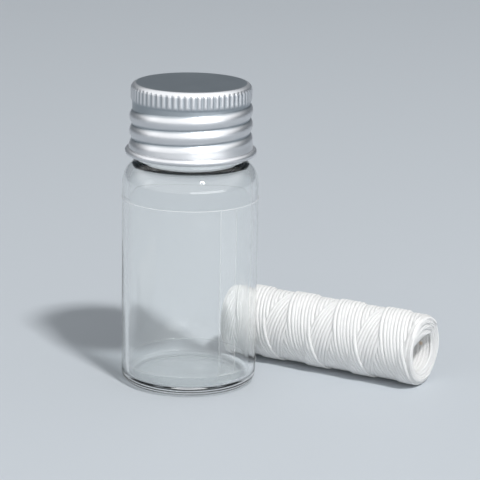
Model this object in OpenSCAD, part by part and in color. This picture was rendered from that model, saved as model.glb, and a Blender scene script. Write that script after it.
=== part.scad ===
// Pocket floss dispenser: a clear glass vial with a screw cap over a lip plug and its
// cutting blade, and the refill roll of floss that it takes, lying beside it.
// Millimetres. The origin is the centre of the vial's foot, on the surface that it stands on.
// +Z is up, and -Y is the front.

/* [Vial] */
// Outer diameter of the body
vial_d = 22; // [21:0.5:26]
// Height of the rim above the foot
vial_h = 47.5; // [44:0.5:60]
// Wall thickness of the body
vial_wall = 1.1; // [0.9:0.1:1.4]
// Thickness of the base
vial_base = 1.4; // [1:0.1:2.4]
// Outer radius of the heel
heel_r = 1.6; // [1.4:0.1:2]
// Outer radius of the shoulder
shoulder_r = 4; // [3.6:0.1:4.6]
// Length of the neck, from the top of the shoulder's round to the rim
neck_h = 10.4; // [10.2:0.1:12]
// Outer diameter of the neck without its thread
neck_d = 17.9; // [17:0.1:18.2]
// Diameter of the neck's bore
neck_bore_d = 14; // [13.4:0.1:14.6]
// Radius of the rim's rounded edges
rim_round = 0.45; // [0.3:0.05:0.6]

/* [Thread] */
// Rise of the thread in one turn
thread_pitch = 2.35; // [2.2:0.05:2.4]
// How far the glass thread stands out of the neck
thread_h = 0.5; // [0.35:0.05:0.6]
// Width of the glass thread where it meets the neck
thread_w = 1.3; // [1:0.05:1.4]
// Turns of glass thread
thread_turns = 1.85; // [1.4:0.05:1.9]
// Depth of the cap's lowest full crest below the rim
thread_drop = 7.1; // [7:0.05:7.3]

/* [Label] */
// Height of the label's lower edge
label_low = 3.5; // [2:0.5:6]
// Height of the film
label_h = 27.3; // [20:0.1:29]
// Thickness of the clear film with its glue
label_t = 0.08; // [0.05:0.01:0.15]
// Width of the lap where the film's ends cross
label_lap = 3; // [1:0.5:5]
// Direction that the lap faces, counted from +X
label_lap_turn = -66; // [-180:1:180]

/* [Lip plug] */
// Diameter of the flange that lies on the rim
plug_flange_d = 16.6; // [15.6:0.1:17]
// Thickness of the flange
plug_flange_t = 0.5; // [0.4:0.05:0.8]
// Length of the skirt in the bore
plug_skirt_h = 5; // [3.5:0.5:7]
// Wall thickness of the skirt
plug_wall = 0.8; // [0.6:0.05:1]
// Thickness of the web that closes the mouth
plug_web_t = 0.8; // [0.6:0.1:1.2]
// Depth of the well over the web, where the blade lies
plug_well = 1.3; // [1.2:0.05:1.6]
// Diameter of the hole in the web that the floss comes up through
plug_hole_d = 2.6; // [2:0.1:4]

/* [Blade] */
// Thickness of the steel plate
blade_t = 0.25; // [0.2:0.05:0.3]
// Diameter of the eyelet that guides the floss
eyelet_d = 1.6; // [1.2:0.1:2.2]
// Length of the raised cutting tongue
tongue_l = 2.4; // [1.8:0.1:2.8]
// Width of the cutting tongue
tongue_w = 2.2; // [1.6:0.1:3]
// Slope of the cutting tongue
tongue_slope = 14; // [8:1:16]

/* [Cap] */
// Height of the cap
cap_h = 11.55; // [11.4:0.05:11.9]
// Thickness of the aluminium
cap_sheet = 0.3; // [0.25:0.01:0.35]
// Outer radius of the cap's top edge
cap_edge_r = 0.95; // [0.8:0.05:1.1]
// Number of flutes round the grip
flute_n = 62; // [48:1:72]
// Depth of a flute
flute_depth = 0.17; // [0.1:0.01:0.2]
// Radius of the tool that presses a flute
flute_tool_r = 0.42; // [0.36:0.01:0.44]
// Height of the fluted grip below the top
grip_h = 2.45; // [2.2:0.05:2.6]
// How far the rolled edge stands out of the skirt
curl_out = 0.7; // [0.6:0.05:0.9]
// Radius of the rolled edge
curl_r = 0.42; // [0.35:0.01:0.45]

/* [Liner] */
// Thickness of the sealing disc
liner_t = 1.05; // [0.8:0.05:1.2]

/* [Floss roll] */
// Outer diameter of the roll
roll_d = 12.1; // [11:0.1:12.4]
// Length of the roll
roll_l = 35.5; // [28:0.5:36]
// Diameter of the hole through the roll
roll_bore_d = 6.6; // [5:0.1:7.2]
// Thickness of the floss as wound, several threads side by side
strand_d = 0.95; // [0.8:0.05:0.98]
// Loops in the outer layer
loop_n = 24; // [18:1:24]
// Direction that the roll's outer end faces, counted from +X
roll_heading = -31; // [-45:1:-20]
// Distance of the outer end from the point of the roll that is nearest to the vial
roll_reach = 34.85; // [25:0.05:36]

/* [Hidden] */

$fn = 96;
// A sunk depth or overshoot that keeps joined solids from only touching
sink = 0.1;

// Clearances
label_glue = 0.01;
plug_fit = 0.02;
blade_fit = 0.05;
thread_root_gap = 0.2;
thread_crest_gap = 0.15;
liner_side_gap = 0.15;
roll_gap = 0.3;
winding_gap = 0.05;

// Vial
vial_r = vial_d / 2;
neck_r = neck_d / 2;
neck_bore_r = neck_bore_d / 2;
shoulder_z = vial_h - neck_h - shoulder_r;
shoulder_x = vial_r - shoulder_r;
neck_fillet = 1;
bore_edge_r = 0.8;
inner_heel_r = 1.2;

// Helix shared by the glass thread and the cap's bead: the height of its crest at an angle
helix_z0 = vial_h - thread_drop;
function helix_z(angle) = helix_z0 + thread_pitch * angle / 360;
thread_from = 20;
thread_to = thread_from + 360 * thread_turns;
thread_taper = 30;
thread_steps = 36;
thread_top_share = 0.4;

// Cap, outside and inside of the threaded wall
groove_r = neck_r + thread_root_gap + cap_sheet;
crest_r = neck_r + thread_h + thread_crest_gap + cap_sheet;
grip_r = groove_r + 0.25;
cap_top_z = vial_h + plug_flange_t + liner_t + cap_sheet;
cap_foot_z = cap_top_z - cap_h;
grip_z = cap_top_z - grip_h;
cap_edge_z = cap_top_z - cap_edge_r;
grip_wall = cap_sheet + 0.05;
bead_turns = 2;
bead_fade = 110;
groove_from = 140;
groove_fade = 60;
band_low_z = helix_z(-200);
band_high_z = helix_z(180 + 360 * bead_turns);
band_blend = 0.45;
band_round = 0.8;
band_sides = 64;
band_rows = 21;
// The exact rings hold the ends of the faceted band inside their walls
band_cover = 0.02;
curl_rise = 0.73;
curl_shoulder_r = 0.5;
curl_lean = 18;

// Lip plug and blade
plug_top_z = vial_h + plug_flange_t;
plug_bead_h = 0.1;
plug_bead_r = 0.5;
plug_bead_drops = [2, 3.5];
plug_skirt_r = neck_bore_r - plug_fit - plug_bead_h;
plug_well_r = plug_skirt_r - plug_wall;
web_top_z = plug_top_z - plug_well;
blade_r = plug_well_r - blade_fit;
tongue_slit = 0.25;
tongue_notch = 0.55;
eyelet_bridge = 0.32;
window_w = tongue_w + 2 * tongue_slit;
window_l = tongue_l * cos(tongue_slope) + tongue_slit;
tongue_root = eyelet_d / 2 + eyelet_bridge + window_l;
snap_z = web_top_z + blade_t + blade_fit;
snap_r = 0.12;

// Liner
liner_z = plug_top_z;
liner_r = grip_r - grip_wall - liner_side_gap;
liner_bevel = 0.55;

// Roll
roll_r = roll_d / 2;
strand_r = strand_d / 2;
strand_sides = 6;
strand_flat = strand_r * cos(180 / strand_sides);
loop_r = roll_r - strand_flat;
loop_rings = 24;
core_r = loop_r - strand_flat - winding_gap - loop_r * (1 - cos(180 / loop_rings));
core_round = 0.45;
coil_inset = 2 * strand_r;
coil_l = roll_l - 2 * coil_inset;
roll_side = vial_r + label_glue + label_t + roll_gap + roll_r;

// 0 below the first value, 1 above the second, and smooth between them
function ease(from, to, at) = let(t = min(1, max(0, (at - from) / (to - from)))) t * t * (3 - 2 * t);

// Ring k of a stack of closed rings, each with n points, as two triangles a side
function ring_faces(k, n) = [for (i = [0:n - 1], half = [0:1])
    let(a = k * n + i, b = k * n + (i + 1) % n)
    half == 0 ? [a, b, b + n] : [a, b + n, a + n]];

// A fan over n points from the first index, turned over if flip is true
function fan_faces(first, n, flip) = [for (i = [1:n - 2])
    flip ? [first, first + i + 1, first + i] : [first, first + i, first + i + 1]];

// A solid swept through a list of rings that all have the same number of points
module swept(rings) {
    n = len(rings[0]);
    last = len(rings) - 1;
    polyhedron(
        points = [for (ring = rings, p = ring) p],
        faces = concat(
            fan_faces(0, n, true),
            [for (k = [0:last - 1], f = ring_faces(k, n)) [f[0], f[1], f[2]]],
            fan_faces(last * n, n, false)));
}

// The right half of a profile, ready to turn round the Z axis
module turned() {
    rotate_extrude() intersection() {
        translate([0, -sink]) square([2 * vial_d, 2 * vial_h]);
        children();
    }
}

module vial_outline() {
    square([vial_r - heel_r, shoulder_z]);
    translate([0, heel_r]) square([vial_r, shoulder_z - heel_r]);
    translate([vial_r - heel_r, heel_r]) circle(heel_r);
    translate([shoulder_x, shoulder_z]) circle(shoulder_r);
    square([shoulder_x, shoulder_z + shoulder_r]);
    square([neck_r, vial_h - rim_round]);
    square([neck_r - rim_round, vial_h]);
    translate([neck_r - rim_round, vial_h - rim_round]) circle(rim_round);
    neck_root();
}

// The small fillet between the shoulder's round and the neck
module neck_root() {
    across = neck_r + neck_fillet - shoulder_x;
    reach = shoulder_r + neck_fillet;
    up = sqrt(reach * reach - across * across);
    difference() {
        polygon([
            [neck_r - sink, shoulder_z],
            [neck_r - sink, shoulder_z + up],
            [neck_r + neck_fillet, shoulder_z + up],
            [shoulder_x + across * shoulder_r / reach, shoulder_z + up * shoulder_r / reach],
            [shoulder_x + across * shoulder_r / reach, shoulder_z]]);
        translate([neck_r + neck_fillet, shoulder_z + up]) circle(neck_fillet);
    }
}

module vial_hollow() {
    inner_r = vial_r - vial_wall;
    roof_r = shoulder_r - vial_wall;
    roof_z = shoulder_z + roof_r;
    translate([0, vial_base]) square([inner_r - inner_heel_r, shoulder_z - vial_base]);
    translate([0, vial_base + inner_heel_r]) square([inner_r, shoulder_z - vial_base - inner_heel_r]);
    translate([inner_r - inner_heel_r, vial_base + inner_heel_r]) circle(inner_heel_r);
    translate([shoulder_x, shoulder_z]) circle(roof_r);
    translate([0, vial_base]) square([neck_bore_r, vial_h]);
    // the rounded edge where the bore opens into the body
    difference() {
        translate([neck_bore_r - sink, roof_z - bore_edge_r]) square([bore_edge_r + sink, 2 * bore_edge_r]);
        translate([neck_bore_r + bore_edge_r, roof_z + bore_edge_r]) circle(bore_edge_r);
    }
    // the rim's inner edge
    difference() {
        translate([neck_bore_r - sink, vial_h - rim_round]) square([rim_round + sink, 2 * rim_round]);
        translate([neck_bore_r + rim_round, vial_h - rim_round]) circle(rim_round);
    }
}

// One section of the glass thread at an angle, with its height drawn in at the two ends
function thread_section(angle) =
    let(share = ease(thread_from, thread_from + thread_taper, angle)
              * (1 - ease(thread_to - thread_taper, thread_to, angle)),
        foot_r = neck_r - 2 * sink,
        crest = neck_r - sink + (thread_h + sink) * share,
        half = thread_w / 2,
        top = half * thread_top_share)
    [for (p = [[foot_r, -half], [crest, -top], [crest, top], [foot_r, half]])
        [p[0] * cos(angle), p[0] * sin(angle), helix_z(angle) + p[1]]];

module glass_vial() {
    steps = ceil(thread_turns * thread_steps);
    color([0.85, 0.93, 0.95, 0.35]) {
        difference() {
            turned() vial_outline();
            turned() vial_hollow();
        }
        swept([for (i = [0:steps]) thread_section(thread_from + (thread_to - thread_from) * i / steps)]);
    }
}

module clear_label() {
    film_r = vial_r + label_glue;
    lap_angle = label_lap / film_r * 180 / PI;
    color([0.9, 0.95, 0.98, 0.3]) translate([0, 0, label_low]) {
        rotate_extrude() translate([film_r, 0]) square([label_t, label_h]);
        rotate([0, 0, label_lap_turn]) rotate_extrude(angle = lap_angle)
            translate([film_r + label_t / 2, 0]) square([1.5 * label_t, label_h]);
    }
}

module plug_profile() {
    difference() {
        union() {
            translate([0, web_top_z - plug_web_t]) square([plug_skirt_r, plug_well + plug_web_t]);
            translate([0, vial_h]) square([plug_flange_d / 2, plug_flange_t]);
            translate([plug_well_r, vial_h - plug_skirt_h])
                square([plug_wall, plug_skirt_h]);
            // two sealing beads that grip the bore
            for (drop = plug_bead_drops)
                intersection() {
                    translate([plug_skirt_r + plug_bead_h - plug_bead_r, vial_h - drop]) circle(plug_bead_r);
                    translate([plug_skirt_r - sink, 0]) square([1, 2 * vial_h]);
                }
        }
        translate([0, web_top_z]) square([plug_well_r, 2 * plug_well]);
        translate([0, web_top_z - plug_web_t - sink]) square([plug_hole_d / 2, 2 * plug_web_t]);
    }
    // the snap bead that keeps the blade down
    translate([plug_well_r, snap_z + snap_r]) circle(snap_r, $fn = 24);
}

module mouth_plug() {
    color([0.93, 0.94, 0.92]) turned() plug_profile();
}

module floss_cutter() {
    color([0.72, 0.73, 0.75]) translate([0, 0, web_top_z]) {
        difference() {
            cylinder(h = blade_t, r = blade_r - snap_r);
            translate([0, 0, -sink]) cylinder(h = 1, d = eyelet_d);
            translate([tongue_root - window_l, -window_w / 2, -sink]) cube([window_l, window_w, 1]);
        }
        // the tongue rises towards the eyelet, and its tip is cut to two teeth
        translate([tongue_root, 0, blade_t * sin(tongue_slope)]) rotate([0, tongue_slope, 0]) difference() {
            translate([-tongue_l, -tongue_w / 2, 0]) cube([tongue_l + blade_t, tongue_w, blade_t]);
            translate([-tongue_l - sink, 0, -sink]) linear_extrude(1)
                polygon([[0, -tongue_notch], [tongue_notch + sink, 0], [0, tongue_notch]]);
        }
    }
}

module cap_liner() {
    color([0.95, 0.95, 0.94]) translate([0, 0, liner_z]) rotate_extrude()
        polygon([[0, 0], [liner_r, 0], [liner_r, liner_t - liner_bevel],
                 [liner_r - liner_bevel, liner_t], [0, liner_t]]);
}

// Outer radius of the cap's threaded wall at an angle (0 to 360) and a height
function band_r(angle, z) =
    let(along = (z - helix_z0) / thread_pitch * 360,
        crest = angle + 360 * round((along - angle) / 360),
        off = (along - crest) / 360,
        groove = crest + (off < 0 ? 0 : 360),
        hump = pow(max(0, (1 + cos(360 * off)) / 2), band_round),
        depth = ease(groove_from, groove_from + groove_fade, groove),
        fade = 1 - ease(360 * bead_turns, 360 * bead_turns + bead_fade, crest),
        wall = groove_r + (crest_r - groove_r) * (1 - (1 - hump) * depth) * fade,
        low = ease(band_low_z, band_low_z + band_blend, z),
        high = ease(band_high_z - band_blend, band_high_z, z))
    (crest_r + (wall - crest_r) * low) * (1 - high) + groove_r * high;

// The thin wall with the rolled thread: closed sections round the cap, joined end to end
module threaded_band() {
    rows = [for (j = [0:band_rows]) band_low_z + (band_high_z - band_low_z) * j / band_rows];
    sections = [for (i = [0:band_sides - 1])
        let(a = 360 * i / band_sides)
        concat(
            [for (j = [0:band_rows]) let(r = band_r(a, rows[j])) [r * cos(a), r * sin(a), rows[j]]],
            [for (j = [band_rows:-1:0]) let(r = band_r(a, rows[j]) - cap_sheet)
                [r * cos(a), r * sin(a), rows[j]]])];
    n = len(sections[0]);
    polyhedron(
        points = [for (s = sections, p = s) p],
        faces = [for (i = [0:band_sides - 1], k = [0:n - 1], half = [0:1])
            let(a = i * n + k, b = i * n + (k + 1) % n,
                c = ((i + 1) % band_sides) * n + (k + 1) % n, d = ((i + 1) % band_sides) * n + k)
            half == 0 ? [a, b, c] : [a, c, d]]);
}

module crown_profile() {
    wall_r = grip_r - grip_wall;
    inner_edge_r = cap_edge_r - cap_sheet;
    low_out = groove_r + band_cover;
    low_in = groove_r - cap_sheet - band_cover;
    difference() {
        union() {
            square([grip_r - cap_edge_r, cap_top_z]);
            square([grip_r, cap_edge_z]);
            translate([grip_r - cap_edge_r, cap_edge_z]) circle(cap_edge_r);
        }
        // outside, below the grip
        polygon([[low_out, 0], [low_out, band_high_z + sink], [grip_r, grip_z], [2 * grip_r, grip_z],
                 [2 * grip_r, 0]]);
        // inside
        square([wall_r - inner_edge_r, cap_top_z - cap_sheet]);
        translate([0, grip_z]) square([wall_r, cap_edge_z - grip_z]);
        translate([wall_r - inner_edge_r, cap_edge_z]) circle(inner_edge_r);
        polygon([[0, 0], [low_in, 0], [low_in, band_high_z + sink], [wall_r, grip_z], [0, grip_z]]);
        square([2 * grip_r, band_high_z - sink]);
    }
}

module foot_profile() {
    curl_x = crest_r + curl_out - curl_r;
    curl_z = cap_foot_z + curl_r;
    shoulder = [crest_r + curl_rise / 10, curl_z + curl_rise];
    wall_in = crest_r - cap_sheet - band_cover;
    lean = [cos(curl_lean), sin(curl_lean)];
    difference() {
        union() {
            translate([wall_in, curl_z - curl_r / 2])
                square([cap_sheet + 2 * band_cover, band_low_z + sink - curl_z + curl_r / 2]);
            translate([curl_x, curl_z]) circle(curl_r);
            translate(shoulder) circle(curl_shoulder_r);
            polygon([[wall_in, curl_z], [curl_x, curl_z], [curl_x, curl_z] + curl_r * lean,
                     shoulder + curl_shoulder_r * lean, shoulder, [wall_in, shoulder[1]]]);
        }
        square([wall_in, 2 * cap_top_z]);
    }
}

module screw_cap() {
    tool_x = grip_r - flute_depth + flute_tool_r;
    color([0.78, 0.8, 0.82]) {
        difference() {
            turned() crown_profile();
            for (i = [0:flute_n - 1]) rotate([0, 0, 360 * i / flute_n])
                translate([tool_x, 0, band_high_z]) cylinder(h = cap_h, r = flute_tool_r, $fn = 24);
        }
        threaded_band();
        turned() foot_profile();
    }
}

// Stands a roll drawn upright from z = 0 where the roll lies, its far end up the Z axis
module lay_roll() {
    translate([-roll_side * sin(roll_heading), roll_side * cos(roll_heading), roll_r])
        rotate([0, 0, roll_heading]) rotate([0, 90, 0])
            translate([0, 0, roll_reach - roll_l]) children();
}

module floss_inner_layers() {
    color([0.96, 0.96, 0.95]) lay_roll() difference() {
        rotate_extrude() {
            square([core_r - core_round, roll_l]);
            translate([0, core_round]) square([core_r, roll_l - 2 * core_round]);
            for (z = [core_round, roll_l - core_round]) translate([core_r - core_round, z])
                intersection() {
                    circle(core_round);
                    translate([0, -core_round]) square([core_round, 2 * core_round]);
                }
        }
        translate([0, 0, -sink]) cylinder(h = roll_l + 2 * sink, d = roll_bore_d);
    }
}

// Centre line of the outer layer, with a straight end of one strand's thickness at each end
loop_path = let(rings = loop_n * loop_rings, step = 360 / loop_rings, rise = coil_l / rings,
        lead = [0, strand_d, 0], first = [loop_r, 0, coil_inset],
        final = [loop_r, 0, coil_inset + coil_l])
    concat([first - lead],
           [for (i = [0:rings]) [loop_r * cos(i * step), loop_r * sin(i * step), coil_inset + i * rise]],
           [final + lead]);

// Section of the floss round one point of its path, square to the roll's surface
function strand_section(k) =
    let(p = loop_path[k],
        i = min(loop_n * loop_rings, max(0, k - 1)),
        a = 360 * i / loop_rings,
        out = [cos(a), sin(a), 0],
        slope = atan2(coil_l / loop_n, 2 * PI * loop_r),
        level = k == 0 || k == len(loop_path) - 1 ? 0 : slope,
        side = [sin(a) * sin(level), -cos(a) * sin(level), cos(level)])
    [for (s = [0:strand_sides - 1])
        let(t = 360 * (s + 0.5) / strand_sides)
        p + strand_r * (cos(t) * out + sin(t) * side)];

// The least air between the floss and itself, from points at least half a loop apart
function least_gap(path) =
    min([for (i = [0:5:len(path) - 1], j = [i + loop_rings / 2:len(path) - 1]) norm(path[i] - path[j])])
    - strand_d;
echo(str("least gap between the floss's loops, in mm: ", least_gap(loop_path)));

module floss_outer_winding() {
    color([0.98, 0.98, 0.97]) lay_roll()
        swept([for (k = [0:len(loop_path) - 1]) strand_section(k)]);
}

glass_vial();
clear_label();
mouth_plug();
floss_cutter();
cap_liner();
screw_cap();
floss_inner_layers();
floss_outer_winding();
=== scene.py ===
# %% [markdown]
# # A clear glass floss vial, its screw cap and its refill roll
# The imported model is the skeleton of this scene: it gives every piece its place and its motion.
# It is loaded first.

# %% Load the imported model
import math
import random

import bmesh
import bpy
from mathutils import Matrix, Vector


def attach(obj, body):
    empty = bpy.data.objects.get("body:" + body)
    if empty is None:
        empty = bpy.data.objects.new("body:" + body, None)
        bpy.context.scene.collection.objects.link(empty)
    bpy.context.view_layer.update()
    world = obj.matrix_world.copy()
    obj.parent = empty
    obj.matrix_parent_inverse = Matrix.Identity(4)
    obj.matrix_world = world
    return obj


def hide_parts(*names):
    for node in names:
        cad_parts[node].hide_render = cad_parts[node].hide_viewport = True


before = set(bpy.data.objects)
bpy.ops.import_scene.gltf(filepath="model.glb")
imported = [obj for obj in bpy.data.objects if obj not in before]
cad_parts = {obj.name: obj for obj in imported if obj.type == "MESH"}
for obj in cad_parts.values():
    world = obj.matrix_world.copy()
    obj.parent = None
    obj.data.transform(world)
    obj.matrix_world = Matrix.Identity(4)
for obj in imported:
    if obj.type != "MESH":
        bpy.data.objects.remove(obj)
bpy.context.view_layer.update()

MM = 0.001
scene = bpy.context.scene

# %% [markdown]
# ## Camera
# A product shot is taken from a little above with a long lens. The lens, place and tilt here were
# fitted to the outline of a 22 mm vial. A matrix of three axes stands a thing where it belongs:
# for the camera they are the directions of its right side, its top and its back.

# %% Camera
camera_place = Vector((0, -348.0, 113.58)) * MM
turned_right, tilted_down, leaned = 0.0234, 0.2533, 0.0175
focal_pixels, picture_pixels, sensor_mm = 2214.25, 480, 36


def standing_at(place, x_axis, y_axis, z_axis):
    """The matrix of a thing at a place, with its own three axes along these directions."""
    return Matrix.Translation(place) @ Matrix((x_axis, y_axis, z_axis)).transposed().to_4x4()


ahead = Vector((math.sin(turned_right) * math.cos(tilted_down),
                math.cos(turned_right) * math.cos(tilted_down),
                -math.sin(tilted_down)))
level_right = ahead.cross(Vector((0, 0, 1))).normalized()
level_up = level_right.cross(ahead)
right = math.cos(leaned) * level_right + math.sin(leaned) * level_up
up = math.cos(leaned) * level_up - math.sin(leaned) * level_right

camera_data = bpy.data.cameras.new("camera")
camera_data.sensor_width = sensor_mm
camera_data.lens = focal_pixels / picture_pixels * sensor_mm
camera_data.clip_start = 10 * MM
camera = bpy.data.objects.new("camera", camera_data)
camera.matrix_world = standing_at(camera_place, right, up, -ahead)
scene.collection.objects.link(camera)
scene.camera = camera
print("lens, in mm:", round(camera_data.lens, 2))

# %% [markdown]
# ## Shader maths as plain expressions
# A material is a small program. Writing `1 - mask` is easier to read than a list of nodes and
# links, so Value wraps a socket and each operator on it adds one Math node. Finish adds any other
# node: its settings first, then the value or link of each of its sockets.

# %% Shader values
class Value:
    """The value of one socket, for use in an expression."""

    def __init__(self, finish, socket):
        self.finish, self.socket = finish, socket

    def math(self, operation, *terms):
        return self.finish.add("ShaderNodeMath", {"operation": operation}, dict(enumerate(terms)))

    def __add__(self, other):
        return self.math("ADD", self, other)

    def __sub__(self, other):
        return self.math("SUBTRACT", self, other)

    def __rsub__(self, other):
        return self.math("SUBTRACT", other, self)

    def __mul__(self, other):
        return self.math("MULTIPLY", self, other)

    def __pow__(self, other):
        return self.math("POWER", self, other)

    __radd__, __rmul__ = __add__, __mul__

    def or_more(self, other):
        """The larger of two values."""
        return self.math("MAXIMUM", self, other)

    def within(self, low, high):
        """0 below low, 1 above high, and smooth between them."""
        return self.finish.add("ShaderNodeMapRange", {"interpolation_type": "SMOOTHSTEP"},
                               {"Value": self, "From Min": low, "From Max": high})


print("shader values ready")

# %% [markdown]
# ## Finishes
# Each material, and the world too, is one Finish. Its methods are the few nodes that this object
# needs: where a point lies, noise, a mix of two colours, a bump, and the shader itself.

# %% Finish helper
class Finish:
    """The nodes of one material or world, added one at a time."""

    def __init__(self, owner):
        owner.use_nodes = True
        self.owner, self.tree = owner, owner.node_tree
        self.tree.nodes.clear()

    def add(self, kind, settings=None, sockets=None, output=0):
        node = self.tree.nodes.new(kind)
        for name, value in (settings or {}).items():
            setattr(node, name, value)
        for key, value in (sockets or {}).items():
            if isinstance(value, Value):
                self.tree.links.new(value.socket, node.inputs[key])
            else:
                node.inputs[key].default_value = value
        return Value(self, node.outputs[output])

    def place(self):
        """The point on the piece, in metres from the vial's foot."""
        return self.add("ShaderNodeTexCoord", output="Object")

    def part(self, vector, axis):
        """One of X, Y and Z of a vector."""
        return self.add("ShaderNodeSeparateXYZ", sockets={0: vector}, output=axis)

    def attribute(self, name, output):
        """What a piece's mesh carries under this name."""
        return self.add("ShaderNodeAttribute", {"attribute_name": name}, output=output)

    def ray(self, kind):
        """What Light Path says about the ray that is looking."""
        return self.add("ShaderNodeLightPath", output=kind)

    def stretched(self, vector, scale):
        return self.add("ShaderNodeMapping", sockets={"Vector": vector, "Scale": scale})

    def noise(self, vector, scale, detail):
        return self.add("ShaderNodeTexNoise", sockets={"Vector": vector, "Scale": scale, "Detail": detail})

    def mix(self, share, first, second):
        """A colour between two colours."""
        return self.add("ShaderNodeMix", {"data_type": "RGBA"}, {0: share, 6: first, 7: second}, output=2)

    def bump(self, height, depth_mm):
        """A normal for a surface whose height goes from 0 to 1 over a depth in millimetres."""
        return self.add("ShaderNodeBump", sockets={"Height": height, "Distance": depth_mm * MM},
                        output="Normal")

    def principled(self, sockets):
        return self.add("ShaderNodeBsdfPrincipled", sockets=sockets)

    def close(self, shader, kind="ShaderNodeOutputMaterial"):
        """Links the shader to the output, and gives back the material or world."""
        node = self.tree.nodes.new(kind)
        self.tree.links.new(shader.socket, node.inputs["Surface"])
        return self.owner


def new_finish(name):
    return Finish(bpy.data.materials.new(name))


print("finish helper ready")

# %% [markdown]
# ## Floor
# The object stands on a plain pale sheet. One large matt square does for it, wide enough for the
# other views too.

# %% Floor
floor_colour = (0.60, 0.64, 0.68, 1)
floor_size = 6.0

floor_mesh = bpy.data.meshes.new("floor")
bm = bmesh.new()
bmesh.ops.create_grid(bm, x_segments=1, y_segments=1, size=floor_size / 2)
bm.to_mesh(floor_mesh)
bm.free()
floor = bpy.data.objects.new("floor", floor_mesh)
scene.collection.objects.link(floor)
floor_finish = new_finish("pale_floor")
floor_mesh.materials.append(floor_finish.close(floor_finish.principled(
    {"Base Color": floor_colour, "Roughness": 0.6, "Specular IOR Level": 0.2})))
print("floor:", floor_size, "m square")

# %% [markdown]
# ## Studio round the object
# Metal and glass show what surrounds them. Here that is dark walls under a large bright soft box
# overhead, which leans to the front, so that curved metal gets both light and dark bands. A ray
# that goes through glass meets paler walls. A ray from a matt surface meets an even ambient
# colour, so that matt surfaces aren't brightened by the soft box. Light Path tells these rays
# apart. One colour all round would be simpler, but it gives curved metal no bands to show.

# %% World
dark_wall = (0.10, 0.12, 0.14, 1)
pale_wall = (0.40, 0.43, 0.46, 1)
soft_box = (1.36, 1.37, 1.38, 1)
ambient_colour = (0.23, 0.24, 0.25, 1)
soft_box_towards = Vector((-0.05, -0.45, 0.89)).normalized()
soft_box_edge, soft_box_full = 0.0, 0.45

studio = Finish(bpy.data.worlds.new("studio"))
scene.world = studio.owner
direction = studio.add("ShaderNodeTexCoord", output="Generated")
facing = studio.add("ShaderNodeVectorMath", {"operation": "DOT_PRODUCT"},
                    {0: direction, 1: tuple(soft_box_towards)}, output="Value")
wall_colour = studio.mix(studio.ray("Is Transmission Ray"), dark_wall, pale_wall)
seen_colour = studio.mix(facing.within(soft_box_edge, soft_box_full), wall_colour, soft_box)
matt_bounces = studio.ray("Diffuse Depth")
falls_on = matt_bounces.math("MINIMUM", matt_bounces, 1.0)
studio_light = studio.add("ShaderNodeBackground", sockets={
    "Color": studio.mix(falls_on, seen_colour, ambient_colour), "Strength": 1.0})
studio.close(studio_light, "ShaderNodeOutputWorld")
print("world ready")

# %% [markdown]
# ## Lamps
# A small key lamp, high in front and a little to the right, throws the shadow. A low wide strip
# in front lights what the key lamp leaves in shade, and a weak tall one lights the left side.
# They are area lamps, because the size of a lamp sets how soft the edge of its shadow is.

# %% Lamps
lamps_aim = Vector((0.008, 0, 0.022))


def soft_lamp(name, direction, distance, width, height, watts):
    """An area lamp, sized in metres, that shines on the middle of the object from a direction."""
    data = bpy.data.lights.new(name, "AREA")
    data.shape, data.size, data.size_y = "RECTANGLE", width, height
    data.energy = watts
    lamp = bpy.data.objects.new(name, data)
    towards = Vector(direction).normalized()
    turned = towards.to_track_quat("Z", "Y").to_matrix().to_4x4()
    lamp.matrix_world = Matrix.Translation(lamps_aim + distance * towards) @ turned
    scene.collection.objects.link(lamp)


soft_lamp("key", (0.27, -0.52, 0.81), distance=1.20, width=0.12, height=0.12, watts=10.4)
soft_lamp("low_strip", (0.50, -0.85, 0.12), distance=0.70, width=0.80, height=0.14, watts=0.8)
soft_lamp("left_strip", (-0.92, -0.10, 0.34), distance=0.60, width=0.10, height=0.40, watts=0.12)

# %% [markdown]
# ## Profiles
# Half of a section through a turned shape is its profile, in radius and height. It is made of
# straight lines and of arcs, so each round corner is a real round and not a chain of typed points.

# %% Profile helpers
def arc(centre, radius, start, end, steps):
    """Points of an arc in radius and height, with its angles in degrees."""
    angles = [math.radians(start + (end - start) * i / steps) for i in range(steps + 1)]
    return [(centre[0] + radius * math.cos(a), centre[1] + radius * math.sin(a)) for a in angles]


def line(first, last, steps):
    """Points from first to last, both included."""
    return [tuple(a + (b - a) * i / steps for a, b in zip(first, last)) for i in range(steps + 1)]


def ease(low, high, at):
    """0 at low and below, 1 at high and above, and smooth between them."""
    t = min(1, max(0, (at - low) / (high - low)))
    return t * t * (3 - 2 * t)


def around(r, angle, height):
    """The point at a radius, an angle in radians and a height."""
    return Vector((r * math.cos(angle), r * math.sin(angle), height))


print("profile helpers ready")

# %% [markdown]
# ## Turned shapes
# The vial and the cap are turned shapes: a closed profile spun once round the upright axis. One
# spin could make the whole turn. Here it makes one wedge, and turned copies of that wedge make
# the rest, so all wedges are alike. Doubled points at the poles and the seams are then merged,
# and the faces are turned to point outwards.

# %% Turning helpers
same_point_mm, merge_within_mm = 1e-5, 0.0005


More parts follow.
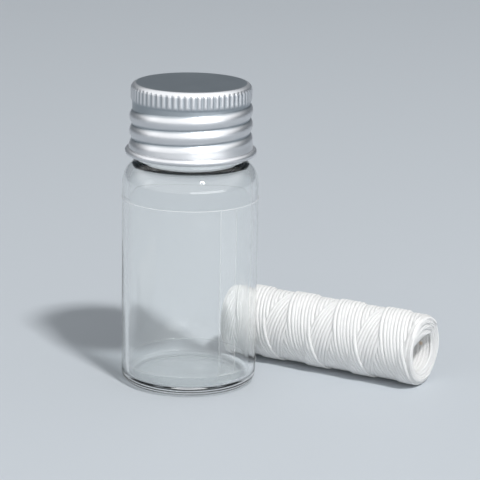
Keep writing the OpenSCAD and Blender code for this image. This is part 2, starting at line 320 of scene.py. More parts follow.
def turn(bm, profile, steps, wedges):
    """Spins a profile, in millimetres, round the Z axis: one wedge, and then turned copies of it."""
    points = [p for i, p in enumerate(profile) if i == 0 or math.dist(p, profile[i - 1]) > same_point_mm]
    verts = [bm.verts.new((r * MM, 0, z * MM)) for r, z in points]
    edges = [bm.edges.new(pair) for pair in zip(verts, verts[1:])]
    wedge_angle = 2 * math.pi / wedges
    bmesh.ops.spin(bm, geom=verts + edges, cent=(0, 0, 0), axis=(0, 0, 1), angle=wedge_angle,
                   steps=steps // wedges, use_duplicate=False)
    wedge = bm.verts[:] + bm.edges[:] + bm.faces[:]
    for i in range(1, wedges):
        copy = bmesh.ops.duplicate(bm, geom=wedge)["geom"]
        bmesh.ops.rotate(bm, verts=[g for g in copy if isinstance(g, bmesh.types.BMVert)], cent=(0, 0, 0),
                         matrix=Matrix.Rotation(i * wedge_angle, 3, "Z"))
    bmesh.ops.remove_doubles(bm, verts=bm.verts, dist=merge_within_mm * MM)
    bmesh.ops.recalc_face_normals(bm, faces=bm.faces)


def reshape(bm, move):
    """Moves every vertex in or out and up or down, and never round the axis.

    move gets a radius, an angle in degrees and a height, and returns a new radius and height.
    """
    for v in bm.verts:
        r, angle = math.hypot(v.co.x, v.co.y) / MM, math.atan2(v.co.y, v.co.x)
        new_r, new_z = move(r, math.degrees(angle) % 360, v.co.z / MM)
        v.co = around(new_r, angle, new_z) * MM


print("turning helpers ready")

# %% [markdown]
# ## From a bmesh to a finished piece
# Every piece ends the same way: its mesh gets smooth shading and its material, rides on the body
# that moves it, and the imported solid that it replaces is hidden.

# %% Piece helper
def piece_from(bm, name, material, body, node):
    """Makes the finished object of a bmesh, rides it on its body and hides its imported node."""
    mesh = bpy.data.meshes.new(name)
    bm.to_mesh(mesh)
    bm.free()
    mesh.shade_smooth()
    mesh.materials.append(material)
    obj = bpy.data.objects.new(name, mesh)
    scene.collection.objects.link(obj)
    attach(obj, body)
    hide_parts(node)
    print(f"{name}: {len(mesh.vertices)} points, {len(mesh.polygons)} faces")


print("piece helper ready")

# %% [markdown]
# ## Glass
# Drawn glass tube is clear, with a faint green-blue tint, and its surface is never quite even:
# it swells and thins a little along its length. Slow noise in the normal makes the lines behind
# it swim. Glass also lets light through: with a plain glass shader its shadow would be as dark
# as a stone's. So rays that look for a lamp, and rays from matt surfaces, meet a transparent
# shader instead, which is darker where the glass is seen edge on.

# %% Glass finish
glass = new_finish("clear_glass")
swell = glass.noise(glass.stretched(glass.place(), (1, 1, 0.35)), scale=160, detail=1)
clear = glass.principled({
    "Base Color": (0.985, 0.995, 0.993, 1), "Roughness": 0.0, "IOR": 1.5,
    "Transmission Weight": 1.0, "Normal": glass.bump(swell, depth_mm=0.06)})
light_ray = glass.ray("Is Shadow Ray").or_more(glass.ray("Is Diffuse Ray"))
edge_sharpness = 3.0
edge_on = glass.add("ShaderNodeLayerWeight", output="Facing") ** edge_sharpness
straight = glass.add("ShaderNodeBsdfTransparent", sockets={"Color": (0.975, 0.985, 0.985, 1)})
slanting = glass.add("ShaderNodeBsdfTransparent", sockets={"Color": (0.03, 0.04, 0.04, 1)})
let_through = glass.add("ShaderNodeMixShader", sockets={0: edge_on, 1: straight, 2: slanting})
clear_or_through = glass.add("ShaderNodeMixShader", sockets={0: light_ray, 1: clear, 2: let_through})
glass_material = glass.close(clear_or_through)
print("glass ready")

# %% [markdown]
# ## Glass vial
# The vial is one piece of tube, closed and rounded at the heel and drawn in to a neck. The outside
# and the inside are one closed profile, because a wall made by thickening one skin could not have
# a thick base, a thin wall and a bore of its own. All lengths are in millimetres.

# %% Vial profile
vial_r, neck_r, bore_r, wall = 11.0, 8.95, 7.0, 1.1
rim_z, rim_round = 47.5, 0.45
base_t, heel_r, inner_heel_r = 1.4, 1.6, 0.7
foot_r, push_up, push_steps, inner_push_up = 8.6, 0.22, 12, 0.25
shoulder_z, shoulder_r, fillet_r = 33.1, 4.0, 1.8
bore_edge_z, bore_edge_r, bore_edge_end, roof_start = 36.8, 0.8, 262, 70

shoulder_centre = (vial_r - shoulder_r, shoulder_z)
fillet_x = neck_r + fillet_r
fillet_up = math.sqrt((shoulder_r + fillet_r) ** 2 - (fillet_x - shoulder_centre[0]) ** 2)
fillet_centre = (fillet_x, shoulder_z + fillet_up)
shoulder_end = math.degrees(math.atan2(fillet_up, fillet_x - shoulder_centre[0]))
neck_top = rim_z - rim_round
inner_r = vial_r - wall
inner_foot_r = inner_r - inner_heel_r

underside = [(foot_r * i / push_steps, push_up * (1 - (i / push_steps) ** 2)) for i in range(push_steps)]
vial_outside = (
    underside + line((foot_r, 0), (vial_r - heel_r, 0), steps=2)
    + arc((vial_r - heel_r, heel_r), heel_r, -90, 0, steps=12)
    + line((vial_r, heel_r), (vial_r, shoulder_z), steps=26)
    + arc(shoulder_centre, shoulder_r, 0, shoulder_end, steps=12)
    + arc(fillet_centre, fillet_r, shoulder_end + 180, 180, steps=6)
    + line((neck_r, fillet_centre[1]), (neck_r, neck_top), steps=84)
    + arc((neck_r - rim_round, neck_top), rim_round, 0, 90, steps=5))
vial_inside = (
    arc((bore_r + rim_round, neck_top), rim_round, 90, 180, steps=5)
    + line((bore_r, neck_top), (bore_r, bore_edge_z), steps=8)
    + arc((bore_r + bore_edge_r, bore_edge_z), bore_edge_r, 180, bore_edge_end, steps=6)
    + arc(shoulder_centre, shoulder_r - wall, roof_start, 0, steps=10)
    + line((inner_r, shoulder_z), (inner_r, base_t + inner_heel_r), steps=24)
    + arc((inner_foot_r, base_t + inner_heel_r), inner_heel_r, 0, -90, steps=10)
    + line((inner_foot_r, base_t), (0, base_t + inner_push_up), steps=8))
print("vial profile:", len(vial_outside + vial_inside), "points")

# %% [markdown]
# ## Glass thread
# The thread is pressed round the neck while the glass is soft. It isn't a turned shape. A separate
# swept ridge would leave a seam in clear glass, so the rows of points on the neck are pushed out
# instead, by the height of the thread at their angle. It starts and ends in a taper.

# %% Vial
thread_pitch, thread_z0 = 2.35, 40.4
thread_h, thread_flat, thread_half = 0.5, 0.2, 0.65
thread_from, thread_to, thread_taper = 20, 686, 30
on_neck_within = 0.01


def neck_with_thread(r, angle, z):
    """Pushes the neck's outside out to the thread, whose crest passes an angle up to twice."""
    if abs(r - neck_r) > on_neck_within or z < fillet_centre[1]:
        return r, z
    height = 0
    for crest in (angle, angle + 360):
        started = ease(thread_from, thread_from + thread_taper, crest)
        ended = ease(thread_to - thread_taper, thread_to, crest)
        off = abs(z - thread_z0 - thread_pitch * crest / 360)
        height = max(height, started * (1 - ended) * (1 - ease(thread_flat, thread_half, off)))
    return r + thread_h * height, z


bm = bmesh.new()
turn(bm, vial_outside + vial_inside, steps=288, wedges=12)
reshape(bm, neck_with_thread)
piece_from(bm, "vial", glass_material, "vial", "glass_vial")

# %% [markdown]
# ## Film finish
# The label is a clear film. It is so thin that it bends nothing seen through it: what shows is a
# faint milky haze and a brighter line along its cut edges. A glass shader would bend the view, so
# the film is mostly transparent instead, and its Alpha rises at the edges.

# %% Film finish
film_low, film_high = 3.5, 30.8
cut_w, end_share = 0.12 * MM, 0.0012
clear_alpha, haze_alpha = 0.012, 0.016
high_cut_alpha, low_cut_alpha, end_cut_alpha = 0.5, 0.22, 0.4

film = new_finish("clear_film")
film_place = film.place()
film_up = film.part(film_place, "Z")
film_share = film.attribute("along_strip", "Fac")
low_cut = 1 - film_up.within(film_low * MM, film_low * MM + cut_w)
high_cut = film_up.within(film_high * MM - cut_w, film_high * MM)
end_cut = 1 - film_share.within(0.0, end_share) * (1 - film_share.within(1 - end_share, 1.0))
haze = film.noise(film_place, scale=300, detail=3)
film_alpha = (clear_alpha + haze_alpha * haze + high_cut_alpha * high_cut
              + low_cut_alpha * low_cut + end_cut_alpha * end_cut)
film_material = film.close(film.principled({
    "Base Color": (0.95, 0.97, 0.98, 1), "Roughness": 0.22, "IOR": 1.48, "Alpha": film_alpha}))
print("film ready")

# %% [markdown]
# ## Film label
# The film is one strip wrapped round the tube, with its end lapped over its start. A flat grid is
# bent round the vial and lifted by its own thickness where it laps, and then thickened. A turned
# ring would be simpler, but it would have no lap.

# %% Film label
film_t, film_inner_r = 0.08, 11.01
lap_turn, lap_angle, lap_step = -64, 15.6, 1.6
strip_angle = 360 + lap_angle

bm = bmesh.new()
bmesh.ops.create_grid(bm, x_segments=300, y_segments=3, size=0.5)
along_strip = bm.verts.layers.float.new("along_strip")
for v in bm.verts:
    share, up_share = v.co.x + 0.5, v.co.y + 0.5
    r = film_inner_r + film_t + film_t * ease(360 - lap_step, 360, share * strip_angle)
    height = film_low + up_share * (film_high - film_low)
    v[along_strip] = share
    v.co = around(r, math.radians(lap_turn + share * strip_angle), height) * MM
bmesh.ops.recalc_face_normals(bm, faces=bm.faces)
bmesh.ops.solidify(bm, geom=bm.faces[:], thickness=film_t * MM)
bmesh.ops.recalc_face_normals(bm, faces=bm.faces)
radii = [math.hypot(v.co.x, v.co.y) / MM for v in bm.verts]
print("film from radius", round(min(radii), 3), "to", round(max(radii), 3), "mm")
piece_from(bm, "label", film_material, "vial", "clear_label")

# %% [markdown]
# ## Screw cap metal
# The cap is satin aluminium, with faint rings round the skirt and a fine grain on the top. A thin
# clear lacquer adds a soft gloss. On a real cap among dark things the hollows mirror the dark and the
# raised beads and rim the light. A pale studio gives less of that, so they are painted into the colour:
# painted shade, darker than the metal really is, in the grooves and on the top, and a painted highlight
# on the beads, the flute ribs, the rolled edge and the rounded edge of the top.

# %% Cap metal
# Radii and heights at which the painted highlight colour takes over from the painted shade colour.
bead_highlight_from, bead_highlight_full = 9.47 * MM, 9.72 * MM
rim_highlight_from, rim_highlight_full = 8.75 * MM, 9.0 * MM
rim_highlight_z_from, rim_highlight_z_full = 48.4 * MM, 48.6 * MM

metal = new_finish("satin_aluminium")
metal_place = metal.place()
rings = metal.noise(metal.stretched(metal_place, (60, 60, 4200)), scale=1.0, detail=3)
grain = metal.noise(metal_place, scale=5200, detail=3)
cloud = metal.noise(metal_place, scale=260, detail=2)
from_axis = (metal.part(metal_place, "X") ** 2 + metal.part(metal_place, "Y") ** 2) ** 0.5
beads_highlight_mask = from_axis.within(bead_highlight_from, bead_highlight_full)
rim_highlight_mask = (from_axis.within(rim_highlight_from, rim_highlight_full)
       * metal.part(metal_place, "Z").within(rim_highlight_z_from, rim_highlight_z_full))
# The darker colour is painted shade in the grooves and on the top; the lighter one is a painted highlight;
# cloud varies both at random.
hollow_painted_shade = metal.mix(cloud, (0.31, 0.345, 0.375, 1), (0.36, 0.395, 0.425, 1))
raised_painted_highlight = metal.mix(cloud, (0.62, 0.63, 0.65, 1), (0.68, 0.69, 0.71, 1))
metal_material = metal.close(metal.principled({
    "Base Color": metal.mix(beads_highlight_mask.or_more(rim_highlight_mask), hollow_painted_shade, raised_painted_highlight),
    "Metallic": 1.0, "Roughness": 0.30 + 0.09 * grain + 0.07 * rings,
    "Coat Weight": 0.10, "Coat Roughness": 0.25,
    "Normal": metal.bump(0.6 * rings + 0.4 * grain, depth_mm=0.010)}))
print("metal ready")

# %% [markdown]
# ## Rolled thread of the cap
# The skirt is a plain cylinder until rollers press it in against the vial's glass thread. That
# leaves rounded beads with one sharp groove winding between them. The groove starts and the last
# bead ends within the skirt, and the skirt flares out to its rolled edge. So its radius is worked
# out from the angle and the height, which a turned profile alone can't do.

# %% Threaded skirt
cap_top, cap_foot, sheet = 49.35, 37.8, 0.3
groove_r, crest_r = 9.45, 9.9
band_low, band_high, band_blend = 38.8, 46.275, 0.4
bead_above, bead_below = 0.46, 0.54
bead_turns, bead_fade, groove_from, groove_fade = 2, 110, 140, 60
flare_h, flare_r = 1.25, 9.98


def band_radius(angle, z):
    """Outer radius of the threaded skirt: a sharp groove that winds between rounded beads, as rolled."""
    along_thread = (z - thread_z0) / thread_pitch * 360
    crest = angle + 360 * round((along_thread - angle) / 360)
    off = (along_thread - crest) / 360
    if off > bead_above:
        crest, off = crest + 360, off - 1
    elif off < -bead_below:
        crest, off = crest - 360, off + 1
    groove = crest + (0 if off < 0 else 360)
    hump = math.cos(math.pi / 2 * off / (bead_above if off > 0 else bead_below))
    depth = ease(groove_from, groove_from + groove_fade, groove)
    fade = 1 - ease(360 * bead_turns, 360 * bead_turns + bead_fade, crest)
    beaded_r = groove_r + (crest_r - groove_r) * (1 - (1 - hump) * depth) * fade
    low = ease(band_low, band_low + flare_h, z)
    high = ease(band_high - band_blend, band_high, z)
    return (flare_r + (beaded_r - flare_r) * low) * (1 - high) + groove_r * high


print("skirt from height", band_low, "to", band_high, "mm")

# %% [markdown]
# ## Fluted grip
# The grip has upright flutes, each one the mark of a round tool. They could be cut out with 62
# small cylinders, but the mesh would lose its even rows. So the turned grip has ten steps to each
# flute, and its points are moved in to the tool's round, with the edges slightly softened.

# %% Flutes
grip_r, grip_low = 9.7, 46.9
flutes, flute_bottom, flute_tool, flute_phase, flute_edge = 62, 9.53, 0.42, 1.8, 0.06


def fluted(r, angle):
    """The radius with the flutes pressed in, their edges slightly rounded."""
    pitch = 360 / flutes
    off = (angle - flute_phase + pitch / 2) % pitch - pitch / 2
    from_middle = math.radians(off) * grip_r
    if abs(from_middle) >= flute_tool:
        return r
    bottom = flute_bottom + flute_tool - math.sqrt(flute_tool ** 2 - from_middle ** 2)
    blend = max(0, flute_edge - abs(r - bottom)) / flute_edge
    return min(r, bottom) - blend * blend * flute_edge / 4


print("flutes:", flutes)

# %% [markdown]
# ## Cap shape
# The cap is drawn from one sheet. Its profile runs over the top, down the grip and the skirt,
# round the rolled edge and up the inside, and its points are then moved to the thread and the
# flutes. The inside follows the outside at the sheet's thickness where the skirt is rolled.

# %% Cap
edge_r, flat_r = 0.95, 8.2
step_r, step_z = 9.47, band_high + 0.1
curl_r, curl_from, curl_to, curl_inner_r = 0.50, 108, -150, 9.66
curl_centre = (10.10, cap_foot + curl_r)
cap_inner_r, cap_inner_edge_r = 9.35, 0.65
cap_inner_top = cap_top - sheet
cap_inner_edge = (cap_inner_r - cap_inner_edge_r, cap_inner_top - cap_inner_edge_r)
inside_within, fluted_from_r, row_slack = 0.1, 9.46, 0.001
steps_per_flute, cap_wedges = 10, 10


def cap_surface(r, angle, z):
    """Rolls the skirt's thread, inside and outside, and presses the flutes into the grip."""
    if band_low - row_slack <= z <= band_high + row_slack:
        return band_radius(angle, z) - (sheet if r < crest_r - inside_within else 0), z
    if z > band_high and r > fluted_from_r:
        return fluted(r, angle), z
    return r, z


cap_outside = (
    line((0, cap_top), (flat_r, cap_top), steps=4)
    + arc((grip_r - edge_r, cap_top - edge_r), edge_r, 90, 0, steps=10)
    + line((grip_r, cap_top - edge_r), (grip_r, grip_low), steps=8)
    + line((grip_r, grip_low), (step_r, step_z), steps=3)
    + line((crest_r, band_high), (crest_r, band_low), steps=70)
    + arc(curl_centre, curl_r, curl_from, curl_to, steps=20))
cap_inside = (
    [(curl_inner_r, curl_centre[1])]
    + line((crest_r - sheet, band_low), (crest_r - sheet, band_high), steps=24)
    + line((groove_r - sheet, step_z), (cap_inner_r, grip_low), steps=2)
    + line((cap_inner_r, grip_low), (cap_inner_r, cap_inner_edge[1]), steps=2)
    + arc(cap_inner_edge, cap_inner_edge_r, 0, 90, steps=5) + [(0, cap_inner_top)])

bm = bmesh.new()
turn(bm, cap_outside + cap_inside, flutes * steps_per_flute, cap_wedges)
reshape(bm, cap_surface)
piece_from(bm, "cap", metal_material, "cap", "screw_cap")

# %% [markdown]
# ## Lip plug plastic
# The lip plug is moulded in natural polyethylene, which is milky and a little waxy. A white paint
# colour would look like chalk, so some of the light goes under the surface, and a fine mottle
# breaks up the colour, the gloss and the surface together.

# %% Plug plastic
plastic = new_finish("natural_plastic")
mottle = plastic.noise(plastic.place(), scale=900, detail=3)
plastic_material = plastic.close(plastic.principled({
    "Base Color": plastic.mix(mottle, (0.86, 0.87, 0.84, 1), (0.91, 0.92, 0.90, 1)),
    "Roughness": 0.38 + 0.12 * mottle, "Subsurface Weight": 0.35, "Subsurface Radius": (1.0, 0.9, 0.8),
    "Subsurface Scale": 0.9 * MM, "Normal": plastic.bump(mottle, depth_mm=0.02)}))
print("plastic ready")

# %% [markdown]
# ## Cutter steel
# The cutter is stamped from bright steel strip and keeps the fine lines of its rolling. Noise
# stretched along the strip draws those lines in its colour, its gloss and its surface.

# %% Cutter steel
steel = new_finish("blade_steel")
rolled = steel.noise(steel.stretched(steel.place(), (300, 9000, 9000)), scale=1.0, detail=3)
steel_material = steel.close(steel.principled({
    "Base Color": steel.mix(rolled, (0.60, 0.61, 0.62, 1), (0.74, 0.75, 0.76, 1)),
    "Metallic": 1.0, "Roughness": 0.18 + 0.20 * rolled, "Normal": steel.bump(rolled, depth_mm=0.006)}))
print("steel ready")

# %% [markdown]
# ## Disc foam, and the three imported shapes
# The sealing disc is cut from white foamed sheet, whose fine cells a Voronoi pattern gives. The
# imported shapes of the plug, the cutter and the disc are fine enough to show, so they only get
# their finishes.

# %% Disc foam
foam = new_finish("liner_foam")
cells = foam.add("ShaderNodeTexVoronoi", sockets={"Vector": foam.place(), "Scale": 7000.0})
foam_material = foam.close(foam.principled({
    "Base Color": (0.88, 0.88, 0.86, 1), "Roughness": 0.7 + 0.2 * cells,
    "Normal": foam.bump(cells, depth_mm=0.03)}))

for node_name, material in (("mouth_plug", plastic_material), ("floss_cutter", steel_material),
                            ("cap_liner", foam_material)):
    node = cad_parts[node_name]
    node.data.materials.clear()
    node.data.materials.append(material)
print("finished under the cap: plug, cutter, disc")

# %% [markdown]
# ## Waxed floss
# The floss is a loose bundle of white filaments, waxed together and pressed flat as it is wound.
# Each thread carries an attribute with its own section and length, so that the filaments follow
# the thread round the roll. White thread also glows a little from light that comes through it.
# One small tan fleck sits in the hole of the roll.

# %% Floss finish
tan_spot_at = tuple(c * MM for c in (38.35, 1.25, 5.89))
tan_full, tan_gone, tan_strength = 0.1 * MM, 0.5 * MM, 0.6

floss = new_finish("waxed_floss")
thread_place = floss.attribute("thread", "Vector")
filaments = floss.noise(floss.stretched(thread_place, (3.2, 3.2, 0.10)), scale=4.0, detail=3)
wax = floss.noise(floss.place(), scale=420, detail=3)
from_tan_spot = floss.add("ShaderNodeVectorMath", {"operation": "DISTANCE"},
                          {0: floss.place(), 1: tan_spot_at}, output="Value")
tan_share = tan_strength * (1 - from_tan_spot.within(tan_full, tan_gone))
# Where the filament bump is low, between the filaments, the colour is darker: painted shade in the
# grooves.
shaded_below, lit_above = 0.25, 0.65
floss_white_with_painted_gap_shade = floss.mix(filaments.within(shaded_below, lit_above), (0.86, 0.86, 0.85, 1), (0.95, 0.95, 0.94, 1))
floss_material = floss.close(floss.principled({
    "Base Color": floss.mix(tan_share, floss_white_with_painted_gap_shade, (0.72, 0.50, 0.27, 1)),
    "Roughness": 0.42 + 0.2 * wax, "Subsurface Weight": 0.3, "Subsurface Radius": (1.0, 1.0, 1.0),
    "Subsurface Scale": 0.5 * MM, "Normal": floss.bump(filaments, depth_mm=0.05)}))
print("floss ready")

# %% [markdown]
# ## Where the roll lies
# The roll lies on the floor beside and behind the vial. It is drawn upright in millimetres, with
# its length as height, because a radius, an angle and a height are then enough to place a point.
# One matrix lays it down.

# %% Roll place
roll_l, roll_r = 35.5, 6.05
heading = math.radians(-31)
along = Vector((math.cos(heading), math.sin(heading), 0))
across = Vector((-math.sin(heading), math.cos(heading), 0))
axis_point, axis_point_in = Vector((8.98226, 14.94900, roll_r)), 0.65
roll_start = axis_point - axis_point_in * along
lay = standing_at(roll_start, across, Vector((0, 0, 1)), along)
print("roll starts at, in mm:", [round(c, 2) for c in roll_start])

# %% [markdown]
# ## How the roll is wound
# The thread runs to and fro along the roll as the roll turns, so it lies in two slanting
# directions. The ribbons of the two directions lie side by side at the front and the back, and
# cross over each other at the top and the bottom. That is where the outline of the roll has its
# steps. Rings or two helices would be easier, but only one continuous path gives the crossings:
# 14 trips to and fro, with a short dwell at each end.

# %% Winding sizes
thread_w, thread_t, advance = 0.70, 0.42, 8.5
trips, points_per_turn, first_angle = 14, 40, 385.8
trip_low, trip_high, dwell_low, dwell_high = 0.5, 35.0, 0.2477, 0.7061
trip_turns = (trip_high - trip_low) / advance
period = 2 * trip_turns + dwell_low + dwell_high
turn_round = (-0.06, -0.03, 0, 0.03, 0.06)


def travel(turns):
    """How far along the roll the thread is after a number of turns."""
    s = turns % period
    if s < trip_turns:
        return trip_low + advance * s
    if s < trip_turns + dwell_high:
        return trip_high
    if s < 2 * trip_turns + dwell_high:
        return trip_high - advance * (s - trip_turns - dwell_high)
    return trip_low


def eased_travel(turns):
    """The same, with the sharp turns at both ends rounded."""
    return sum(travel(max(0, turns + d)) for d in turn_round) / len(turn_round)


print("turns to and fro:", round(period, 3))

# %% [markdown]
# ## Crossings
# Where a ribbon of one direction crosses one of the other, the upper one has to rise. The last
# half of the trips lies over the first half. One strand was wound proud of the rest near the
# middle, and the roll's corners are rounded, because thread slips a little at its ends.

# %% Winding levels
first_level, forward_level, backward_level = 5.39, 5.60, 5.57
first_rise, forward_rise = 0.18, 0.20
crossing_angle, crossing_x, ribbon_half, ribbon_soft = 71.2, 12.5, advance / 4, 0.25
proud_x, proud_angle, proud_h = 16.8, 192, 0.2
proud_across, proud_turn, proud_full, proud_gone = 0.06, 20, 2, 4
far_corner, open_corner = 1.2, 1.3


def covered(x, angle, shift):
    """1 where a ribbon of the backward trips lies, 0 between its turns."""
    centre = crossing_x + shift - advance * (angle - crossing_angle) / 360
    off = abs((x - centre + advance / 2) % advance - advance / 2)
    return 1 - ease(ribbon_half - ribbon_soft, ribbon_half + ribbon_soft, off)


def thread_level(x, angle, forward, last_half):
    """Radius of the thread's middle before the ends are rounded."""
    if not forward:
        return backward_level if last_half else first_level
    over = covered(x, angle, 0 if last_half else advance / 2)
    return forward_level + forward_rise * over if last_half else first_level + first_rise * over


def proud_rise(x, angle):
    """How far the proud strand stands up, in millimetres."""
    strand_off = x - proud_x - advance * (angle - proud_angle) / 360
    strand_off -= advance * round(strand_off / advance)
    turn_off = (angle - proud_angle + 180) % 360 - 180
    bell = math.exp(-strand_off ** 2 / proud_across - (turn_off / proud_turn) ** 2)
    return proud_h * bell * (1 - ease(proud_full, proud_gone, abs(x - proud_x)))


def rounded_end(x):
    """How far the surface drops near an end, and how far it leans towards that end, 0 to 1."""
    depth, corner = (x, far_corner) if x < roll_l / 2 else (roll_l - x, open_corner)
    if depth >= corner:
        return 0, 0
    lean = (corner - depth) / corner
    return corner - corner * math.sqrt(max(0, 1 - lean * lean)), lean * (1 if x > roll_l / 2 else -1)


print("ribbons", round(2 * ribbon_half, 2), "mm wide")

# %% [markdown]
# ## The thread's path
# Wound thread never lies quite where it should. Each trip wanders a little along the roll, and
# near the ends it lies a little further in or out. The amounts are drawn from a seeded chance, so
# that the roll comes out the same each time.

# %% Winding path
chance = random.Random(62)
wander = [chance.uniform(-0.07, 0.07) for _ in range(2 * trips + 2)]
spread = [chance.uniform(0.0, 0.75) for _ in range(2 * trips + 2)]
wander_gone, wander_full = 0.5, 2.5
spread_back, spread_full, spread_gone = 0.1, 0.3, 1.4
uneven_h, uneven_rate = 0.015, 7.3

winding, winding_out = [], []
for i in range(int(trips * period * points_per_turn) + 1):
    turns = i / points_per_turn
    trip, s = divmod(turns, period)
    angle = first_angle + 360 * turns
    x = eased_travel(turns)
    forward, last_half = s < trip_turns + dwell_high / 2, trip >= trips / 2
    half_trip = int(2 * trip) + (0 if forward else 1)
    level = thread_level(x, angle, forward, last_half)
    from_end = min(x, roll_l - x)
    x += wander[half_trip] * ease(wander_gone, wander_full, from_end)
    inwards = -1 if x > roll_l / 2 else 1
    x += (spread[half_trip] - spread_back) * (1 - ease(spread_full, spread_gone, from_end)) * inwards
    if forward and last_half:
        level += proud_rise(x, angle)
    drop, lean = rounded_end(x)
    r = level - drop + uneven_h * math.sin(uneven_rate * turns + trip)
    winding.append(around(r, math.radians(angle), x))
    winding_out.append(around(math.sqrt(1 - lean * lean), math.radians(angle), lean))
print("thread:", len(winding), "points,", round(trips * period, 1), "turns")

# %% [markdown]
# ## A pressed thread
# A curve with a round bevel gives the tube, and its points are then pressed towards the roll's
# surface, so that the section is flat on the roll as wound thread is. The bevel's rings come in
# the order of the path, so each point's ring is known from its number.

# %% Thread maker
bevel_level, twist_per_mm = 2, 0.8
sides = 4 + 2 * bevel_level


def beveled_tube(path, width):
    """A bmesh tube along a path, open at both ends."""
    curve = bpy.data.curves.new("thread_path", "CURVE")
    curve.dimensions, curve.bevel_depth, curve.bevel_resolution = "3D", width / 2, bevel_level
    spline = curve.splines.new("POLY")
    spline.points.add(len(path) - 1)
    spline.points.foreach_set("co", [c for p in path for c in (*p, 1)])
    holder = bpy.data.objects.new("thread_path", curve)
    mesh = bpy.data.meshes.new_from_object(holder)
    bpy.data.objects.remove(holder)
    bpy.data.curves.remove(curve)
    tube = bmesh.new()
    tube.from_mesh(mesh)
    bpy.data.meshes.remove(mesh)
    return tube


def thread_mesh(path, outward, width, thickness):
    """A thread along a path, pressed flat along the outward directions, in millimetres."""
    tube = beveled_tube(path, width)
    thread = tube.verts.layers.float_vector.new("thread")
    lengths = [0]
    for first, second in zip(path, path[1:]):
        lengths.append(lengths[-1] + (second - first).length)
    for i, v in enumerate(tube.verts):
        ring = i // sides
        off = v.co - path[ring]
        twist = 2 * math.pi * (i % sides) / sides + twist_per_mm * lengths[ring]
        v[thread] = around(1, twist, lengths[ring])
        v.co -= outward[ring] * off.dot(outward[ring]) * (1 - thickness / width)
    bmesh.ops.holes_fill(tube, edges=[e for e in tube.edges if e.is_boundary], sides=sides)
    return tube


print("thread of", sides, "sides")

# %% [markdown]
# ## Outer winding
# The whole winding is one thread along one path. It is made upright and then laid in its place.

# %% Outer winding
def place_roll(bm):
    """Lays a shape drawn upright, in millimetres, where the roll lies."""
    bmesh.ops.transform(bm, matrix=Matrix.Scale(MM, 4) @ lay, verts=bm.verts)


bm = thread_mesh(winding, winding_out, thread_w, thread_t)
place_roll(bm)
bmesh.ops.recalc_face_normals(bm, faces=bm.faces)
piece_from(bm, "floss_winding", floss_material, "floss_roll", "floss_outer_winding")

# %% [markdown]
# ## The slumped hole
# Under the winding lie older layers round the hole that the mandrel left. Soft floss doesn't hold
# a true hole: one side of its mouth has slumped wide, and its top is pressed flat under a lip.
# That is worked out as a radius for each angle, which fades to the true hole further in.

# %% Slump of the mouth
hole_r, rim_r, lip_angle, lip_off, lip_side, lip_far = 3.35, 5.4, 97.8, 2.32, 0.2, 12
slump_angle, slump_width, slump, slump_from, slump_gone = 185, 58, 1.0, 0.3, 7
corner_power = 5


def mouth_r(angle):
    """Radius of the hole's mouth: slumped wide on one side and pressed flat under a lip at the top."""
    off = (angle - slump_angle + 180) % 360 - 180
    wide = hole_r + slump * math.exp(-(off / slump_width) ** 2)
    toward = math.cos(math.radians(angle - lip_angle))
    lip = lip_off / toward if toward > lip_side else lip_far
    return (wide ** -corner_power + lip ** -corner_power) ** (-1 / corner_power)


def slumped(r, angle, depth):
    """Moves a radius between the hole and the rim as its mouth moves, less and less with depth."""
    share = 1 - min(1, max(0, (r - hole_r) / (rim_r - hole_r)))
    return r + share * (mouth_r(angle) - hole_r) * (1 - ease(slump_from, slump_gone, depth))


print("mouth from radius", round(min(mouth_r(a) for a in range(360)), 2), "mm up")

# %% [markdown]
# ## Inner layers
# The layers under the winding are packed so close that only their edges show, round the hole and
# at the ends. So they are one turned shape, whose inside is ribbed as its turns of thread are.

# %% Core of the roll
mouth_low, mouth_high, mouth_round, fine_from = 0.6, 34.6, 0.35, 28
dish_r, dish_low, dish_high = hole_r + 0.5, 0.55, 34.95
face_r, face_low, face_high = 4.9, 0.4, 35.1
corner_r, corner_low, corner_high, corner_angle = 0.7, 1.1, 34.4, 75
side_low, side_high = 1.3, 34.2
inner_pitch, rib_h, ribbed_to_r = 0.62, 0.10, 4.2

core_profile = (
    line((hole_r, mouth_low), (hole_r, fine_from), steps=24)
    + line((hole_r, fine_from), (hole_r, mouth_high), steps=44)
    + arc((hole_r + mouth_round, mouth_high), mouth_round, 180, 90, steps=4)
    + line((dish_r, dish_high), (face_r, face_high), steps=10)
    + arc((rim_r - corner_r, corner_high), corner_r, corner_angle, 0, steps=6)
    + line((rim_r, side_high), (rim_r, side_low), steps=40)
    + arc((rim_r - corner_r, corner_low), corner_r, 0, -corner_angle, steps=6)
    + line((face_r, face_low), (dish_r, dish_low), steps=6) + [(hole_r, mouth_low)])


def soft_core(r, angle, z):
    """Ribs the inside of the hole, and slumps it at the open end."""
    if r < ribbed_to_r:
        r += rib_h * abs(math.sin(math.pi * z / inner_pitch + math.radians(angle)))
    return slumped(r, angle, roll_l - z), z


bm = bmesh.new()
turn(bm, core_profile, steps=144, wedges=12)
reshape(bm, soft_core)
bmesh.ops.scale(bm, vec=(1 / MM,) * 3, verts=bm.verts)
core_thread = bm.verts.layers.float_vector.new("thread")
for v in bm.verts:
    section_turn = 2 * math.pi * v.co.z / inner_pitch
    v[core_thread] = around(1, section_turn, hole_r * math.atan2(v.co.y, v.co.x))
print("core:", len(bm.verts), "points")

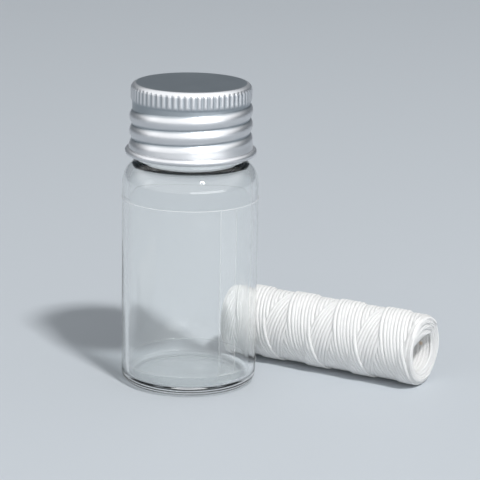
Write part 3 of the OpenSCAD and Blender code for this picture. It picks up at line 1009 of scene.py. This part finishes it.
# %% [markdown]
# ## Coils at the ends
# At each end the turns of the inner layers show as rings round the hole. They are one coil that
# winds inwards, not separate rings, and it strays a little from its place. At the open end the
# coil slumps as the hole does, and it comes forward at the lip.

# %% End coils
coil_turns, coil_from, coil_to, coil_start = 9.4, 5.30, 3.45, 40
coil_w, coil_t, coil_steps = 0.56, 0.46, 60
coil_depth, coil_sink = 0.40, 0.45
sideways_waves = ((0.05, 2.1, 1), (0.03, 5.3, 0))
height_waves = ((0.05, 3.3, 0), (0.06, 0.93, 0))
lip_rise, lip_rise_from, lip_share_from, lip_share_full = 0.22, 0.2, 0.1, 0.6


def waver(waves, angle):
    """A sum of slow waves, each with its size, its rate and its start."""
    return sum(size * math.sin(rate * angle + start) for size, rate, start in waves)


def end_coil(open_end):
    """The turns of the inner layers that show at one end of the roll."""
    path = []
    for i in range(int(coil_turns * coil_steps) + 1):
        share = i / coil_steps / coil_turns
        angle = coil_start + 360 * i / coil_steps
        a = math.radians(angle)
        r = coil_from + (coil_to - coil_from) * share + waver(sideways_waves, a)
        depth = coil_depth + coil_sink * share - waver(height_waves, a)
        if open_end:
            r = slumped(r, angle % 360, 0)
            under_lip = ease(lip_rise_from, 1, math.cos(a - math.radians(lip_angle)))
            depth -= lip_rise * under_lip * ease(lip_share_from, lip_share_full, share)
        path.append(around(r, a, roll_l - depth if open_end else depth))
    return thread_mesh(path, [Vector((0, 0, 1))] * len(path), coil_w, coil_t)


for open_end in (True, False):
    coil = end_coil(open_end)
    coil_mesh = bpy.data.meshes.new("end_coil")
    coil.to_mesh(coil_mesh)
    coil.free()
    bm.from_mesh(coil_mesh)
    bpy.data.meshes.remove(coil_mesh)
place_roll(bm)
piece_from(bm, "floss_core", floss_material, "floss_roll", "floss_inner_layers")

# %% [markdown]
# ## Settings
# A ray through the vial crosses the film and the glass twice, front and back, so it is given more
# bounces than Blender's defaults. Too few leave dark patches where many walls lie behind each
# other.

# %% Settings
scene.view_settings.view_transform = "Standard"
scene.cycles.transparent_max_bounces = 32
scene.cycles.transmission_bounces = 16
scene.cycles.max_bounces = 20
